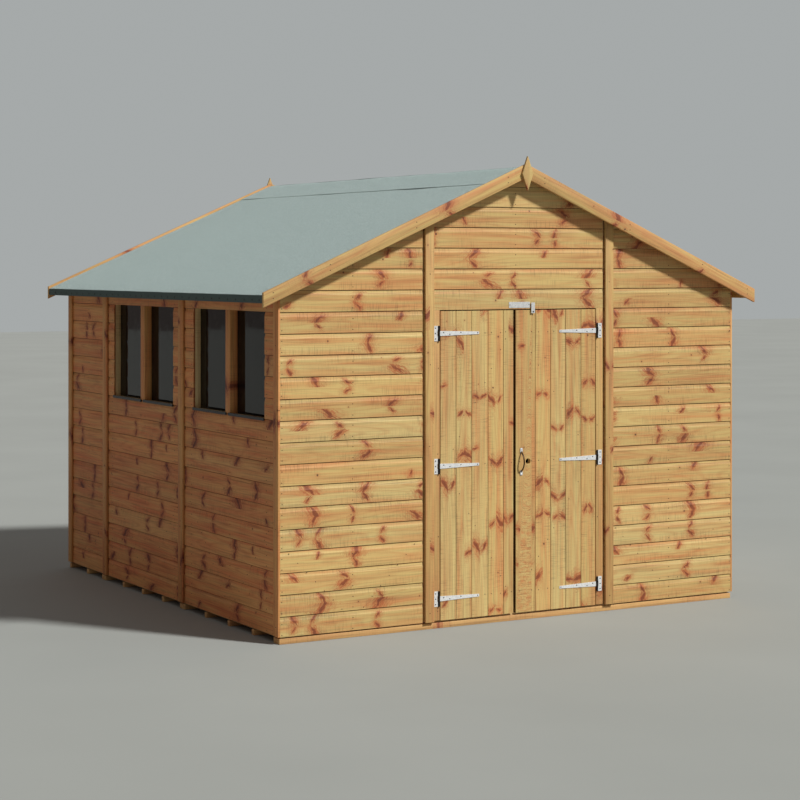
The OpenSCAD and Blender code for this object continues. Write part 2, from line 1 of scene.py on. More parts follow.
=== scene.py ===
"""Looks of a timber garden shed: boards, framing, nails, ironmongery, felt and
glazing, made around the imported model. Metres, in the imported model's own frame."""
import math
import random

import bmesh
import bpy
import numpy as np
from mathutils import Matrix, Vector


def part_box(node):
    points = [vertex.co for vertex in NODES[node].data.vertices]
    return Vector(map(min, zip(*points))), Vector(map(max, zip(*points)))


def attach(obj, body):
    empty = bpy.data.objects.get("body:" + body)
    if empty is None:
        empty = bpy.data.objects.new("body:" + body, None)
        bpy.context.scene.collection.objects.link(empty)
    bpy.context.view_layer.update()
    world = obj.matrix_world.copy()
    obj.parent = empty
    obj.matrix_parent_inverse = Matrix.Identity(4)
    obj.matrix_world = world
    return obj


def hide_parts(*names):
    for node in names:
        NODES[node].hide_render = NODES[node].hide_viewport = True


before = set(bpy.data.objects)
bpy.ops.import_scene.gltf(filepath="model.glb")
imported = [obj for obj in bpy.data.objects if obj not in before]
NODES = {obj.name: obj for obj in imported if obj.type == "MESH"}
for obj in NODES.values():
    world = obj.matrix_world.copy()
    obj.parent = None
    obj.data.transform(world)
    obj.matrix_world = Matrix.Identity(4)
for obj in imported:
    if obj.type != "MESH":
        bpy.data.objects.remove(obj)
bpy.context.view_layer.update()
rng = random.Random(11)


def low(node):
    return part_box(node)[0]


def high(node):
    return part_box(node)[1]


def end_x(node, side):
    """Where a node ends in x: on its left with -1, on its right with 1."""
    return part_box(node)[0 if side < 0 else 1].x


# ---- Sizes that repeat over the shed ----
SIDES = {"left": -1, "right": 1}
BOARD_PITCH = 0.1126         # visible height of a wall board
FIRST_JOINT = 0.143          # height of the lowest joint between wall boards
DECK_PITCH = 0.096           # width of a roof or floor board
STUD_W = 0.045
LEDGE_HEIGHTS = (0.160, 0.876, 1.594)
LEDGE_H = 0.070
HINGE_AXES = {"left": -0.524, "right": 0.517}
DOOR_JOINTS = {"left": (-0.413, -0.313, -0.208, -0.108),
               "right": (0.102, 0.204, 0.306, 0.410)}
FELT_T = 0.003

# A wall board's face from its lower edge up: (height, depth behind the face).
# The lower edge is eased, and a cove runs up to the joint.
COVE = [(0.0, 0.0012), (0.0012, 0.0), (0.0880, 0.0), (0.0900, 0.0008),
        (0.0940, 0.0020), (0.0990, 0.0032), (0.1050, 0.0042), (0.1096, 0.0047),
        (0.1099, 0.0095), (BOARD_PITCH, 0.0095)]

# A door board's face from its left edge: the same cove, with a shallow joint.
DOOR_COVE = [(0.0, 0.0010), (0.0010, 0.0), (0.0800, 0.0), (0.0820, 0.0006),
             (0.0860, 0.0015), (0.0910, 0.0022), (0.0985, 0.0026), (0.1000, 0.0034)]

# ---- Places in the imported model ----
WALL_FOOT = low("front_left_cladding").z
WALL_LEFT = low("front_left_cladding").x
WALL_RIGHT = high("front_right_cladding").x
FRONT_FACE = low("front_left_cladding").y
BACK_FACE = high("back_left_cladding").y
BOARD_T = high("front_left_cladding").y - FRONT_FACE
EAVES_Z = high("left_rear_cladding").z
EAVES_OUTER = min(high("left_upper_cladding").z, high("right_front_cladding").z)
EAVES_REACH = end_x("roof_felt_right", 1)  # from the middle to the felt's fold
HEADER_Z = low("front_gable_cladding").z
APEX_Z = high("front_gable_cladding").z
SLOPE = (APEX_Z - EAVES_Z) / (WALL_RIGHT - BOARD_T)
PITCH = math.atan(SLOPE)
STRIP_T = WALL_LEFT - low("side_cover_strips").x


class Plane:
    """A board plane: along runs with the grain, up across it, out is the face's normal."""

    def __init__(self, origin, along, up, out):
        self.origin, self.along = Vector(origin), Vector(along)
        self.up, self.out = Vector(up), Vector(out)

    def at(self, u, v, w=0.0):
        return self.origin + self.along * u + self.up * v + self.out * w

    def raised(self, height):
        return Plane(self.at(0, 0, height), self.along, self.up, self.out)


FRONT = Plane((0, FRONT_FACE, 0), (1, 0, 0), (0, 0, 1), (0, -1, 0))
BACK = Plane((0, BACK_FACE, 0), (1, 0, 0), (0, 0, 1), (0, 1, 0))
LEFT = Plane((WALL_LEFT, 0, 0), (0, 1, 0), (0, 0, 1), (-1, 0, 0))
RIGHT = Plane((WALL_RIGHT, 0, 0), (0, 1, 0), (0, 0, 1), (1, 0, 0))


# ---- Making meshes ----

class Build:
    """Collects closed shapes with the grain coordinates that the materials read."""

    def __init__(self):
        self.points, self.faces, self.grain, self.tone = [], [], [], []

    def add(self, points, faces, grain=None, tone=0.5):
        start = len(self.points)
        self.points += [tuple(p) for p in points]
        self.faces += [[start + i for i in f] for f in faces]
        self.grain += [tuple(g) for g in grain or points]
        self.tone += [tone] * len(points)

    def mesh(self, name):
        mesh = bpy.data.meshes.new(name)
        mesh.from_pydata(self.points, [], self.faces)
        grain = mesh.attributes.new("grain", "FLOAT_VECTOR", "POINT")
        grain.data.foreach_set("vector", np.array(self.grain, float).ravel())
        tone = mesh.attributes.new("tone", "FLOAT", "POINT")
        tone.data.foreach_set("value", np.array(self.tone, float))
        shape = bmesh.new()
        shape.from_mesh(mesh)
        bmesh.ops.dissolve_degenerate(shape, dist=1e-6, edges=shape.edges)
        bmesh.ops.recalc_face_normals(shape, faces=shape.faces)
        shape.to_mesh(mesh)
        shape.free()
        return mesh

    def piece(self, name, material, body, slot, *nodes, smooth=None):
        obj = bpy.data.objects.new(name, self.mesh(name))
        return finish_piece(obj, material, body, slot, *nodes, smooth=smooth)


def finish_piece(obj, material, body, slot, *nodes, smooth=None):
    """Links a new object, gives it its material and says what it rides on."""
    bpy.context.scene.collection.objects.link(obj)
    obj.data.materials.clear()
    obj.data.materials.append(material)
    if smooth is not None:
        obj.data.polygons.foreach_set("use_smooth", [True] * len(obj.data.polygons))
        obj.data.set_sharp_from_angle(angle=math.radians(smooth))
    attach(obj, body)
    if nodes:
        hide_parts(*nodes)
    return obj


def ring_faces(n, count):
    """Faces between count rings of n points each."""
    return [(k * n + i, k * n + (i + 1) % n, (k + 1) * n + (i + 1) % n, (k + 1) * n + i)
            for k in range(count - 1) for i in range(n)]


def add_sweep(build, rings):
    """A closed shape through rings that all have the same number of points."""
    n, count = len(rings[0]), len(rings)
    caps = [range(n), range((count - 1) * n, count * n)]
    build.add([p for ring in rings for p in ring], ring_faces(n, count) + caps)


# A nail or screw head, from its foot up: (share of its radius, share of its height)
DOME_RINGS = ((1.0, -0.3), (1.0, 0.35), (0.62, 0.85))


def add_dome(build, centre, out, radius, height, sides=8):
    """A low dome, such as a nail or screw head, on a face with the normal out."""
    out = Vector(out)
    side = out.orthogonal().normalized()
    other = out.cross(side)
    points = []
    for share, rise in DOME_RINGS:
        for i in range(sides):
            turn = 2 * math.pi * i / sides
            arm = side * math.cos(turn) + other * math.sin(turn)
            points.append(Vector(centre) + arm * radius * share + out * height * rise)
    points.append(Vector(centre) + out * height)
    last = (len(DOME_RINGS) - 1) * sides
    fan = [(last + i, last + (i + 1) % sides, len(points) - 1) for i in range(sides)]
    build.add(points, [range(sides)] + ring_faces(sides, len(DOME_RINGS)) + fan)


def groove_profile(pitch):
    """Face of a tongued board with a small V at both edges."""
    v = 0.0022
    return [(0.0, v), (v, 0.0), (pitch - v, 0.0), (pitch, v)]


def stretched(profile, pitch):
    """The same profile on a board of another width."""
    share = pitch / profile[-1][0]
    return [(h * share, d) for h, d in profile]


def depth_at(profile, h):
    for (h0, d0), (h1, d1) in zip(profile, profile[1:]):
        if h0 <= h <= h1:
            return d0 + (d1 - d0) * (h - h0) / (h1 - h0)
    return profile[-1][1]


# Boards and sticks take their grain from different stretches of one long timber
GRAIN_SHIFT = 40.0


def add_board(build, plane, foot, span, ends, profile, thickness, tone, kinks=()):
    """One board, from span[0] to span[1] across the grain. ends(v) gives its two
    ends along the grain at a height v, and foot is where its profile starts."""
    levels = {span[0], span[1]}
    levels |= {foot + h for h, _ in profile if span[0] < foot + h < span[1]}
    levels |= {k for k in kinks if span[0] < k < span[1]}
    levels = sorted(levels)
    middle = foot + profile[-1][0] / 2
    points, grain = [], []
    for v in levels:
        for u in ends(v):
            for w in (-depth_at(profile, v - foot), -thickness):
                points.append(plane.at(u, v, w))
                grain.append((u + tone * GRAIN_SHIFT, v - middle, w))
    faces = [(0, 2, 3, 1)]
    for i in range(len(levels) - 1):
        a, b = 4 * i, 4 * (i + 1)
        faces += [(a, b, b + 2, a + 2), (a + 1, a + 3, b + 3, b + 1),
                  (a, a + 1, b + 1, b), (a + 2, b + 2, b + 3, a + 3)]
    top = 4 * (len(levels) - 1)
    faces.append((top, top + 1, top + 3, top + 2))
    build.add(points, faces, grain, tone)


def add_boards(build, plane, span, ends, thickness, pitch=BOARD_PITCH, first=FIRST_JOINT,
               profile=COVE, key=0, kinks=()):
    """Rows of boards that fill span. Rows in one wall share tones through key."""
    row = math.floor((span[0] - first) / pitch + 1e-6)
    while first + row * pitch < span[1] - 1e-4:
        foot = first + row * pitch
        part = (max(foot, span[0]), min(foot + pitch, span[1]))
        tone = random.Random(key * 1009 + row * 31 + 5).random()
        add_board(build, plane, foot, part, ends, profile, thickness, tone, kinks)
        row += 1


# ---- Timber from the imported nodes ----

# No stick lies square to this, so it settles which end of one comes first
GRAIN_TOWARDS = np.array([1.0, 1.3, 1.7])


def main_axes(points):
    """Long, wide and thin direction of a stick of timber."""
    centred = points - points.mean(axis=0)
    _, _, axes = np.linalg.svd(centred, full_matrices=False)
    spans = [np.ptp(centred @ a) for a in axes]
    order = np.argsort(spans)[::-1]
    return [axes[i] * np.sign(axes[i] @ GRAIN_TOWARDS) for i in order]


def islands(shape):
    """Groups of faces that hang together."""
    left = set(shape.faces)
    while left:
        group, queue = set(), [left.pop()]
        while queue:
            face = queue.pop()
            group.add(face)
            for edge in face.edges:
                for other in edge.link_faces:
                    if other in left:
                        left.discard(other)
                        queue.append(other)
        yield group


def welded(node):
    """A CAD node's mesh with its shared points joined."""
    shape = bmesh.new()
    shape.from_mesh(NODES[node].data)
    bmesh.ops.remove_doubles(shape, verts=shape.verts, dist=1e-5)
    return shape


def parts_of(node):
    """Box of each separate solid in a node, from front to back."""
    shape = welded(node)
    boxes = []
    for group in islands(shape):
        points = np.array([v.co for f in group for v in f.verts])
        boxes.append((Vector(points.min(axis=0)), Vector(points.max(axis=0))))
    shape.free()
    return sorted(boxes, key=lambda b: (round(b[0].y, 4), round(b[0].x, 4), round(b[0].z, 4)))


EASED_EDGE = 0.0016          # planed sticks


def timber(node, name, material, body, slot):
    """A CAD node's sticks with eased edges and grain along each of them."""
    shape = welded(node)
    bmesh.ops.dissolve_limit(shape, angle_limit=math.radians(1.0), verts=shape.verts,
                             edges=shape.edges)
    sharp = [e for e in shape.edges
             if len(e.link_faces) == 2 and e.calc_face_angle(0) > math.radians(15)]
    bmesh.ops.bevel(shape, geom=sharp, offset=EASED_EDGE, segments=2, profile=0.5,
                    affect="EDGES", clamp_overlap=True)
    grain_layer = shape.verts.layers.float_vector.new("grain")
    tone_layer = shape.verts.layers.float.new("tone")
    picks = random.Random(len(node) * 77 + ord(node[0]) * 13 + ord(node[-1]))
    shape.verts.index_update()
    groups = sorted(islands(shape), key=lambda g: min(tuple(f.calc_center_median()) for f in g))
    for group in groups:
        verts = sorted({v for f in group for v in f.verts}, key=lambda v: v.index)
        points = np.array([v.co for v in verts])
        axes = main_axes(points)
        centre = (points.max(axis=0) + points.min(axis=0)) / 2
        tone = picks.random()
        for vert, point in zip(verts, points):
            u, v, w = [float((point - centre) @ a) for a in axes]
            vert[grain_layer] = (u + tone * GRAIN_SHIFT, v, w)
            vert[tone_layer] = tone
    mesh = bpy.data.meshes.new(name)
    shape.to_mesh(mesh)
    shape.free()
    finish_piece(bpy.data.objects.new(name, mesh), material, body, slot, node, smooth=40)


# ---- Materials ----

class Value:
    """A number worked out in a node tree, for use in sums like any other number."""

    def __init__(self, tree, socket):
        self.tree, self.socket = tree, socket

    def __add__(self, other):
        return self.tree.math("ADD", self, other)

    def __sub__(self, other):
        return self.tree.math("SUBTRACT", self, other)

    def __mul__(self, other):
        return self.tree.math("MULTIPLY", self, other)

    def __truediv__(self, other):
        return self.tree.math("DIVIDE", self, other)

    def __abs__(self):
        return self.tree.math("ABSOLUTE", self)

    def times_plus(self, factor, offset, clamp=False):
        return self.tree.math("MULTIPLY_ADD", self, factor, offset, clamp)

    def between(self, start, end):
        """Goes from start to end as this value goes from 0 to 1."""
        return self.times_plus(end - start, start)


class Tree:
    """A node tree whose nodes are made with short calls."""

    def __init__(self, owner):
        owner.use_nodes = True
        self.tree = owner.node_tree

    def link(self, value, socket):
        if isinstance(value, Value):
            value = value.socket
        if isinstance(value, bpy.types.NodeSocket):
            self.tree.links.new(value, socket)
        elif value is not None:
            socket.default_value = value

    def node(self, kind, settings=(), **inputs):
        node = self.tree.nodes.new(kind)
        for key, value in dict(settings).items():
            setattr(node, key, value)
        for key, value in inputs.items():
            self.link(value, node.inputs[key.replace("_", " ")])
        return node

    def math(self, operation, a, b=None, c=None, clamp=False):
        node = self.node("ShaderNodeMath", {"operation": operation, "use_clamp": clamp})
        for socket, value in zip(node.inputs, (a, b, c)):
            self.link(value, socket)
        return Value(self, node.outputs[0])

    def length(self, a, b):
        return self.math("SQRT", a * a + b * b)

    def step(self, value, start, end):
        """Smooth change from 0 to 1 as value goes from start to end."""
        node = self.node("ShaderNodeMapRange", {"interpolation_type": "SMOOTHSTEP"},
                         Value=value, From_Min=start, From_Max=end)
        return Value(self, node.outputs[0])

    def mix(self, factor, a, b, blend="MIX"):
        node = self.node("ShaderNodeMix", {"data_type": "RGBA", "blend_type": blend,
                                           "clamp_factor": True})
        self.link(factor, node.inputs[0])
        self.link(a, node.inputs[6])
        self.link(b, node.inputs[7])
        return node.outputs[2]


class Shader(Tree):
    """A material whose Principled shader is fed by nodes."""

    def __init__(self, name, roughness=0.6, metallic=0.0, **fixed):
        self.material = bpy.data.materials.new(name)
        super().__init__(self.material)
        self.shader = self.tree.nodes["Principled BSDF"]
        for key, value in dict(fixed, Roughness=roughness, Metallic=metallic).items():
            self.shader.inputs[key.replace("_", " ")].default_value = value

    def place(self):
        """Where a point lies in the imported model's frame."""
        return self.node("ShaderNodeTexCoord").outputs["Object"]

    def attribute(self, name, output):
        return self.node("ShaderNodeAttribute", {"attribute_name": name}).outputs[output]

    def split(self, vector):
        node = self.node("ShaderNodeSeparateXYZ", Vector=vector)
        return [Value(self, socket) for socket in node.outputs]

    def vector(self, x, y, z):
        return self.node("ShaderNodeCombineXYZ", X=x, Y=y, Z=z).outputs[0]

    def noise(self, vector, scale=1.0, detail=2.0, roughness=0.5):
        node = self.node("ShaderNodeTexNoise", Vector=vector, Scale=scale, Detail=detail,
                         Roughness=roughness)
        return Value(self, node.outputs[0])

    def nearest(self, value, randomness):
        """The nearest of points spread one apart along a line."""
        node = self.node("ShaderNodeTexVoronoi", {"voronoi_dimensions": "1D"}, W=value,
                         Scale=1.0, Randomness=randomness)
        return Value(self, node.outputs["W"])

    def hash(self, value):
        """Three random numbers from one."""
        node = self.node("ShaderNodeTexWhiteNoise", {"noise_dimensions": "1D"}, W=value)
        parts = self.node("ShaderNodeSeparateColor", Color=node.outputs["Color"])
        return [Value(self, socket) for socket in parts.outputs]

    def colour(self, value):
        self.link(value, self.shader.inputs["Base Color"])

    def rough(self, value):
        self.link(value, self.shader.inputs["Roughness"])

    def bump(self, height, distance, strength=1.0):
        node = self.node("ShaderNodeBump", Height=height, Distance=distance, Strength=strength)
        self.link(node.outputs[0], self.shader.inputs["Normal"])


def srgb(red, green, blue):
    """A screen colour from 0 to 255 as linear light."""
    def linear(c):
        c /= 255
        return c / 12.92 if c < 0.04045 else ((c + 0.055) / 1.055) ** 2.4
    return (linear(red), linear(green), linear(blue), 1.0)


# Softwood. Knots come in whorls of two, one in each half of a board's width,
# and lean away from the board's middle.
KNOT_L, KNOT_W = 0.027, 0.0075       # half length and half width of a knot's core
KNOT_SHARES = (0.78, 1.98)           # smallest and largest knot, as shares of those
KNOT_OUT = (0.014, 0.034)            # from the middle of the board to a knot's foot
LEAN_SPAN, LEAST_LEAN = 1.5, 0.35    # radians from straight across the grain
PIN_KNOT_R = (0.0025, 0.0060)
PIN_KNOT_OUT = 0.040                 # pin knots lie within this of the board's middle
PIN_KNOT_COLOUR = srgb(74, 40, 24)
# Painted shade in the slots between wall boards, where the upper board's edge shades the joint
JOINT_SHADE_COLOUR = srgb(104, 50, 24)
JOINT_SHADE_DEPTHS = (-0.0044, -0.0085)    # painted shade darkens a joint's slot between these depths
JOINT_SHADE_FADE_DEPTHS = (-0.0116, -0.0100)     # and the painted shade has faded out again at the board's back


class Whorl:
    """The knots nearest to each point of a board: zone() says how far the point
    lies in them, out is its distance from a knot's foot away from the middle."""

    def __init__(self, s, u, v, w, tone, spacing, share):
        warp_u = s.noise(s.vector(u, v, tone), scale=26.0).between(-0.015, 0.015)
        warp_v = s.noise(s.vector(v, tone, u), scale=31.0).between(-0.011, 0.011)
        along = (u + warp_u) / spacing
        seat = s.nearest(along, 0.85)
        du = (along - seat) * spacing
        half = s.math("GREATER_THAN", v, 0.0)
        own_a, own_b, own_c = s.hash(half.times_plus(3.31, seat * 7.9))
        self.out = abs(v + warp_v) - own_a.between(*KNOT_OUT)

        lean = (s.hash(seat * 13.7)[0] - 0.5) * LEAN_SPAN
        lean = lean + s.math("SIGN", lean) * LEAST_LEAN
        cosine, sine = s.math("COSINE", lean), s.math("SINE", lean)
        size = (own_b * own_b).between(*KNOT_SHARES)
        self.length_way = du.times_plus(sine, self.out * cosine) / (size * KNOT_L)
        self.width_way = (du * cosine - self.out * sine) / (size * KNOT_W)

        ragged = s.noise(s.vector(u, v, w), scale=55.0, detail=3.0, roughness=0.6) - 0.5
        feather = s.noise(s.vector(self.length_way * 1.3, self.width_way * 2.6, seat))
        self.ragged = (feather - 0.5).times_plus(1.2, ragged * 0.6)
        self.shown = s.math("LESS_THAN", own_c, share)
        self.s = s

    def zone(self, longer, wider, rag, start, end):
        """1 in the knots and 0 outside, with them longer, wider and more ragged."""
        reach = self.s.length(self.length_way / longer, self.width_way / wider)
        return self.s.step(self.ragged.times_plus(rag, reach), start, end) * self.shown


def pin_knots(s, u, v, spacing, ragged):
    """Small round knots, and the warm glow round them."""
    along = u / spacing
    seat = s.nearest(along, 1.0)
    own_a, own_b, own_c = s.hash(seat * 5.3)
    dv = v - own_a.between(-PIN_KNOT_OUT, PIN_KNOT_OUT)
    reach = s.length((along - seat) * spacing, dv) / own_b.between(*PIN_KNOT_R)
    shown = s.math("LESS_THAN", own_c, 0.55)
    return s.step(ragged.times_plus(0.8, reach), 1.3, 0.6) * shown, s.step(reach, 4.5, 1.0) * shown


def wood(name, *colours, whorl=0.40, knots=0.75, saw=1.0, roughness=0.62, joints=False):
    """Softwood from the grain coordinates: streaks, growth rings, saw marks and
    whorls of two leaning knots. whorl is their mean spacing along the grain, and
    a board joint's slot can get painted shade where the face is cut back."""
    gold, pink, pale, knot, halo = (srgb(*colour) for colour in colours)
    s = Shader(name, roughness)
    u, v, w = s.split(s.attribute("grain", "Vector"))
    tone = Value(s, s.attribute("tone", "Fac"))
    board_a, board_b, board_c = s.hash(tone * 97.3)
    knotty = Whorl(s, u, v, w, tone, whorl, knots)
    core = knotty.zone(0.9, 0.9, 1.7, 1.10, 0.60)
    ring = knotty.zone(1.2, 2.0, 2.4, 1.30, 0.60)
    glow = knotty.zone(1.9, 4.6, 1.8, 1.5, 0.1)
    pin, pin_glow = pin_knots(s, u, v, whorl * 1.9, knotty.ragged)

    # the grain runs round the knots
    across = v - knotty.out * glow * 0.7 * s.math("SIGN", v)

    def figure(stretch, fineness, **kind):
        return s.noise(s.vector(u * stretch, across * fineness, w * fineness), **kind)

    wide = figure(1.1, 24.0, detail=3.0, roughness=0.6)
    fine = figure(4.0, 260.0)
    streak = s.step(figure(2.2, 95.0), 0.46, 0.70)
    rings = s.step(s.math("SINE", figure(0.55, 8.0, detail=1.0) * 120.0), 0.15, 1.0)
    ticks = s.step(s.noise(s.vector(u * 320.0, v * 12.0, 0.0), detail=1.0), 0.50, 0.72)
    cloud = s.step(s.noise(s.vector(u * 3.2, v * 7.0, tone)), 0.44, 0.62)

    pinkness = board_a.times_plus(0.20, wide.times_plus(3.8, -1.72))
    colour = s.mix(cloud.times_plus(0.22, pinkness, clamp=True), gold, pink)
    colour = s.mix(s.step(wide.times_plus(-1.0, board_b), 0.1, 0.6) * 0.6, colour, pale)
    colour = s.mix(rings * 0.16, colour, halo)
    colour = s.mix(s.math("MAXIMUM", glow, pin_glow * 0.5) * 0.45, colour, halo)
    colour = s.mix(ring * 0.75, colour, halo)
    colour = s.mix(core * 0.80, colour, knot)
    colour = s.mix(pin * 0.85, colour, PIN_KNOT_COLOUR)
    dark = ticks * cloud.times_plus(0.7, 0.3) * (0.30 * saw)
    dark = s.step(fine, 0.5, 0.75).times_plus(0.16, dark)
    light = board_c.between(0.95, 1.11) - streak.times_plus(0.20, dark)
    grey = s.node("ShaderNodeCombineColor", Red=light, Green=light, Blue=light).outputs[0]
    colour = s.mix(1.0, colour, grey, "MULTIPLY")
    # painted shade: the slot of each joint is darkened towards a dark brown
    if joints:
        joint_shade_mask = s.step(w, *JOINT_SHADE_DEPTHS) * s.step(w, *JOINT_SHADE_FADE_DEPTHS)
        colour = s.mix(joint_shade_mask * 0.9, colour, JOINT_SHADE_COLOUR)
    s.colour(colour)
    s.rough(fine.between(roughness - 0.07, roughness + 0.07))
    relief = rings.times_plus(0.5, fine * 0.6)
    s.bump((ticks * cloud).times_plus(-0.5 * saw, relief), 0.0006, 0.6)
    return s.material


# Each wood: its gold, pink and pale streaks, its knots and the halos round them
BOARDS = wood("dipped_boards", (201, 172, 108), (200, 142, 86), (209, 187, 126),
              (120, 54, 26), (176, 94, 50), joints=True)
# Painted shade: redder copies of the dipped boards and strips, for the walls and strips that stand
# in shade; the real walls are all of one wood
PAINTED_SHADE_BOARDS = wood("painted_shade_boards", (216, 154, 92), (212, 124, 72), (220, 170, 108),
                   (96, 38, 20), (160, 74, 40), joints=True)
PAINTED_SHADE_TRIM = wood("painted_shade_strips", (214, 158, 94), (210, 134, 78), (218, 170, 106),
                 (104, 44, 24), (160, 80, 44), whorl=0.62, knots=0.5, saw=0.7)
TRIM = wood("dipped_strips", (196, 162, 100), (194, 140, 88), (202, 180, 118),
            (116, 52, 30), (170, 96, 58), whorl=0.62, knots=0.5, saw=0.7)
FRAMING = wood("framing_softwood", (222, 196, 142), (214, 176, 124), (230, 210, 160),
               (140, 78, 48), (196, 140, 90), whorl=0.7, knots=0.45, saw=0.8)
DECKING = wood("deck_boards", (214, 186, 132), (204, 164, 112), (224, 202, 152),
               (132, 70, 44), (186, 126, 80), whorl=0.5, knots=0.6)
BEARER = wood("bearer_softwood", (206, 164, 104), (196, 142, 90), (214, 180, 122),
              (134, 66, 42), (180, 106, 66), whorl=0.8, knots=0.4)


def felt():
    """Mineral felt: granules pressed into a green-grey sheet."""
    s = Shader("mineral_felt", 0.93)
    place = s.place()
    granules = s.node("ShaderNodeTexVoronoi", Vector=place, Scale=620.0).outputs["Color"]
    speck = Value(s, s.node("ShaderNodeSeparateColor", Color=granules).outputs[0])
    mottle = s.noise(place, scale=14.0, detail=4.0, roughness=0.6)
    fine = s.noise(place, scale=160.0)
    colour = s.mix(speck, srgb(142, 160, 160), srgb(178, 196, 194))
    colour = s.mix(s.step(speck, 0.93, 0.97), colour, srgb(222, 232, 228))
    colour = s.mix(s.step(speck, 0.07, 0.03), colour, srgb(84, 98, 98))
    colour = s.mix(s.step(mottle, 0.35, 0.70) * 0.08, colour, srgb(132, 148, 146))
    # the fold over the eaves batten is darker than the slope
    fold = s.step(abs(s.split(place)[0]), EAVES_REACH - 0.006, EAVES_REACH - 0.001)
    s.colour(s.mix(fold * 0.9, colour, srgb(58, 76, 74)))
    s.rough(fine.between(0.86, 0.96))
    s.bump(speck.times_plus(0.7, fine), 0.0010, 0.7)
    return s.material


def zinc():
    """Bright zinc plate with the faint spangle and rub of plated steel."""
    s = Shader("zinc_plate", 0.36, metallic=0.6)
    place = s.place()
    spangle = s.noise(place, scale=130.0, detail=3.0)
    s.colour(s.mix(s.step(spangle, 0.30, 0.70), srgb(226, 229, 231), srgb(250, 251, 251)))
    s.rough(s.noise(place, scale=28.0, detail=3.0).between(0.26, 0.46))
    s.bump(spangle, 0.0001, 0.4)
    return s.material


def hinge_metal():
    """Zinc plates; the round barrels in front of them are painted near-black, a painted dark
    reflection.
    """
    s = Shader("hinge_steel", 0.38, metallic=0.45)
    place = s.place()
    spangle = s.noise(place, scale=130.0, detail=3.0)
    x = s.split(place)[0]
    off_axis = s.math("MINIMUM", abs(x - HINGE_AXES["left"]), abs(x - HINGE_AXES["right"]))
    steel = s.mix(s.step(spangle, 0.30, 0.70), srgb(232, 235, 238), srgb(252, 253, 253))
    # painted dark reflection: near-black within a few millimetres of each hinge axis
    s.colour(s.mix(s.step(off_axis, 0.0072, 0.0060), steel, srgb(30, 29, 30)))
    s.rough(spangle.between(0.28, 0.48))
    s.bump(spangle, 0.0001, 0.4)
    return s.material


def dark_metal(name, base, edge, roughness, metallic):
    """Dark enamelled or rusty steel, a little paler where it is rubbed."""
    s = Shader(name, roughness, metallic=metallic)
    wear = s.noise(s.place(), scale=90.0, detail=4.0)
    s.colour(s.mix(s.step(wear, 0.45, 0.72), srgb(*base), srgb(*edge)))
    s.rough(wear.between(roughness - 0.1, roughness + 0.15))
    s.bump(wear, 0.0002, 0.5)
    return s.material


def black_plastic():
    """Extruded drip strip with fine draw lines along it."""
    s = Shader("black_extrusion", 0.42)
    x, y, z = s.split(s.place())
    lines = s.noise(s.vector(x, y * 0.02, z), scale=900.0, detail=1.0)
    s.colour(s.mix(lines, srgb(14, 14, 15), srgb(34, 34, 36)))
    s.rough(lines.between(0.35, 0.50))
    s.bump(lines, 0.0001, 0.4)
    return s.material


def glazing():
    """Clear styrene sheet, slightly smoky, with a trace of dust and ripple."""
    s = Shader("smoky_glazing", 0.05, Transmission_Weight=0.80, IOR=1.30)
    place = s.place()
    dust = s.noise(place, scale=14.0, detail=5.0, roughness=0.65)
    s.colour(s.mix(s.step(dust, 0.4, 0.75), srgb(40, 36, 33), srgb(56, 52, 48)))
    s.rough(s.step(dust, 0.45, 0.8).between(0.03, 0.13))
    s.bump(s.noise(place, scale=5.0, detail=1.0), 0.0015, 0.3)
    return s.material


FELT = felt()
ZINC = zinc()
HINGE = hinge_metal()
RUSTY_NAIL = dark_metal("dark_nail_heads", (62, 38, 28), (96, 66, 46), 0.55, 0.35)
SCREW = dark_metal("dark_screws", (22, 21, 22), (48, 48, 50), 0.50, 0.3)
CLOUT = dark_metal("clout_heads", (14, 16, 16), (34, 38, 38), 0.50, 0.3)
BRONZED = dark_metal("bronzed_handle", (62, 42, 30), (138, 106, 70), 0.34, 0.7)
PLASTIC = black_plastic()
GLAZING = glazing()


# ---- Walls ----

# Painted shade: the back and left walls take the redder copy of the boards
WALLS = {"front": (FRONT, BOARDS), "back": (BACK, PAINTED_SHADE_BOARDS),
         "left": (LEFT, PAINTED_SHADE_BOARDS), "right": (RIGHT, BOARDS)}
LEAST_BOARD = 0.002          # length of the board at the very apex


def gable_boards(build, plane, a, b, key):
    """Level rows of one gable panel, which follow the roof at the top."""
    def ends(z):
        reach = max((APEX_Z - z) / SLOPE, LEAST_BOARD / 2)
        left, right = max(a.x, -reach), min(b.x, reach)
        if right - left > LEAST_BOARD:
            return left, right
        middle = (left + right) / 2
        return middle - LEAST_BOARD / 2, middle + LEAST_BOARD / 2

    add_boards(build, plane, (a.z, b.z), ends, BOARD_T, key=key,
               kinks=[APEX_Z - abs(x) * SLOPE for x in (a.x, b.x)])


def side_boards(build, plane, a, b, key):
    """Level rows of one part of a side wall, in the box from a to b."""
    add_boards(build, plane, (a.z, min(b.z, EAVES_OUTER)), lambda z: (a.y, b.y), BOARD_T, key=key)


def wall_panel(panel, key):
    """One panel without a window."""
    wall, node = panel.split("_")[0], f"{panel}_cladding"
    plane, material = WALLS[wall]
    boards = side_boards if wall in SIDES else gable_boards
    build = Build()
    boards(build, plane, *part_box(node), key)
    build.piece(f"{panel}_boards", material, "root", "board_timber", node)


def window_wall():
    """Boards below, above and beside the windows of the left wall's two panels."""
    nodes = ("left_lower_cladding", "left_upper_cladding", "left_window_sides")
    front, rear = parts_of("left_lower_cladding")
    split = (front[1].y + rear[0].y) / 2
    build = Build()
    for node in nodes:
        for a, b in parts_of(node):
            side_boards(build, LEFT, a, b, 21 if a.y < split else 22)
    # the redder copy of the boards, painted shade as on the back wall
    build.piece("left_window_wall_boards", PAINTED_SHADE_BOARDS, "root", "board_timber", *nodes)


